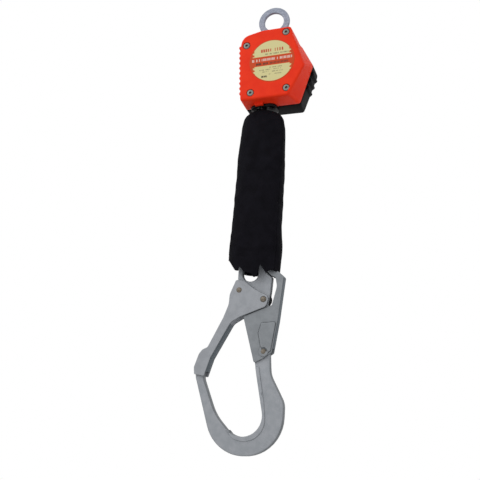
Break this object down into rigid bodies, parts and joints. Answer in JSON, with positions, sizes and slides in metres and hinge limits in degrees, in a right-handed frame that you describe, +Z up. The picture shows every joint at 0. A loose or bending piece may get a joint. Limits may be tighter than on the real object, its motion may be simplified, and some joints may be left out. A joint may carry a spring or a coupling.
{
  "type": "self retracting lifeline",
  "caption": "Self retracting fall arrest lifeline: webbing drum in a two-part case under an anchor eye, textile absorber cover and a double-action scaffold hook.",
  "frame": {"origin": "centre of the anchor eye's hole, in the middle of the plate's thickness", "axes": "+X to the right of the label side, +Y from the front shell to the rear shell along the drum axis, +Z up"},
  "size_m": [0.1489, 0.053, 0.547],
  "materials": {
    "orange_shell": "satin moulded plastic",
    "black_shell": "fine textured moulding",
    "label": "printed label with plain bars",
    "screw": "zinc plated",
    "galvanised": "galvanised, mottled",
    "steel": "turned",
    "spring_steel": "blued",
    "pressed_metal": "pressed sheet",
    "brass": "machined",
    "bronze": "sintered",
    "black_plastic": "moulded",
    "webbing": "woven polyester",
    "cover": "coated woven fabric",
    "buffer": "moulded rubber",
    "hook_alloy": "tumbled, satin grey",
    "rivet": "yellow passivated",
    "dark_wire": "black wire"
  },
  "bodies": {
    "housing": {"front_shell": "orange_shell", "rear_shell": "black_shell", "label_disc": "label", "cover_screws": "screw", "thread_inserts": "brass", "anchor_plate": "galvanised", "rear_frame_plate": "galvanised", "frame_spacers": "steel", "main_shaft": "steel", "shaft_clip": "spring_steel", "spring_cup": "pressed_metal", "spring_cup_lid": "pressed_metal", "power_spring": "spring_steel", "ratchet_ring": "pressed_metal", "mouth_guide": "black_plastic", "webbing_lead": "webbing"},
    "drum": {"drum_hub": "steel", "drum_flange_front": "pressed_metal", "drum_flange_rear": "pressed_metal", "drum_bushes": "bronze", "webbing_roll": "webbing", "pawl_pins": "steel", "pawl_springs": "spring_steel"},
    "pawl_a": {"pawl_a": "brass"},
    "pawl_b": {"pawl_b": "brass"},
    "webbing": {"webbing_strap": "webbing"},
    "absorber": {"stop_buffer": "buffer", "absorber_pack": "webbing", "webbing_eye": "webbing", "sleeve": "cover"},
    "hook": {"hook_body": "hook_alloy", "gate_pivot_rivet": "rivet", "lever_rivet": "rivet", "gate_spring": "dark_wire", "lever_spring": "dark_wire"},
    "gate": {"gate": "hook_alloy", "gate_stop_rivet": "rivet"},
    "lock_lever": {"lock_lever": "hook_alloy"}
  },
  "joints": [
    {"name": "drum_spin", "type": "hinge", "parent": "housing", "child": "drum", "pos_m": [0, 0.014, -0.0615], "axis": [0, -1, 0], "range_deg": [0, 4500]},
    {"name": "pawl_a_swing", "type": "hinge", "parent": "drum", "child": "pawl_a", "pos_m": [0.02, 0.027, -0.0615], "axis": [0, 1, 0], "range_deg": [0, 18], "stiffness_Nm_per_rad": 0.01, "springref_deg": -17.19},
    {"name": "pawl_b_swing", "type": "hinge", "parent": "drum", "child": "pawl_b", "pos_m": [-0.02, 0.027, -0.0615], "axis": [0, 1, 0], "range_deg": [0, 18], "stiffness_Nm_per_rad": 0.01, "springref_deg": -17.19},
    {"name": "lanyard_swing", "type": "hinge", "parent": "housing", "child": "webbing", "pos_m": [-0.017, 0.014, -0.1098], "axis": [0, 1, 0], "range_deg": [-9, 9]},
    {"name": "payout", "type": "slide", "parent": "webbing", "child": "absorber", "axis": [-0.0732, 0, -0.9973], "range_m": [0, 1.8], "stiffness_N_per_m": 5, "springref_m": -4, "deforming": ["webbing_strap"]},
    {"name": "hook_swing", "type": "hinge", "parent": "absorber", "child": "hook", "pos_m": [-0.03399, 0.014, -0.30027], "axis": [0.9973, 0, -0.0732], "range_deg": [-12, 12]},
    {"name": "gate_swing", "type": "hinge", "parent": "hook", "child": "gate", "pos_m": [-0.01899, 0.014, -0.35261], "axis": [0, -1, 0], "range_deg": [0, 30], "stiffness_Nm_per_rad": 0.25, "springref_deg": -45.84},
    {"name": "lever_press", "type": "hinge", "parent": "hook", "child": "lock_lever", "pos_m": [-0.02, 0.014, -0.41279], "axis": [0, -1, 0], "range_deg": [0, 5], "stiffness_Nm_per_rad": 0.3, "springref_deg": -17.19}
  ],
  "couplings": [
    {"joint": "drum_spin", "follows": "payout", "rad_per_m": 43.63},
    {"joint": "lever_press", "follows": "gate_swing", "ratio": 0.1666}
  ]
}
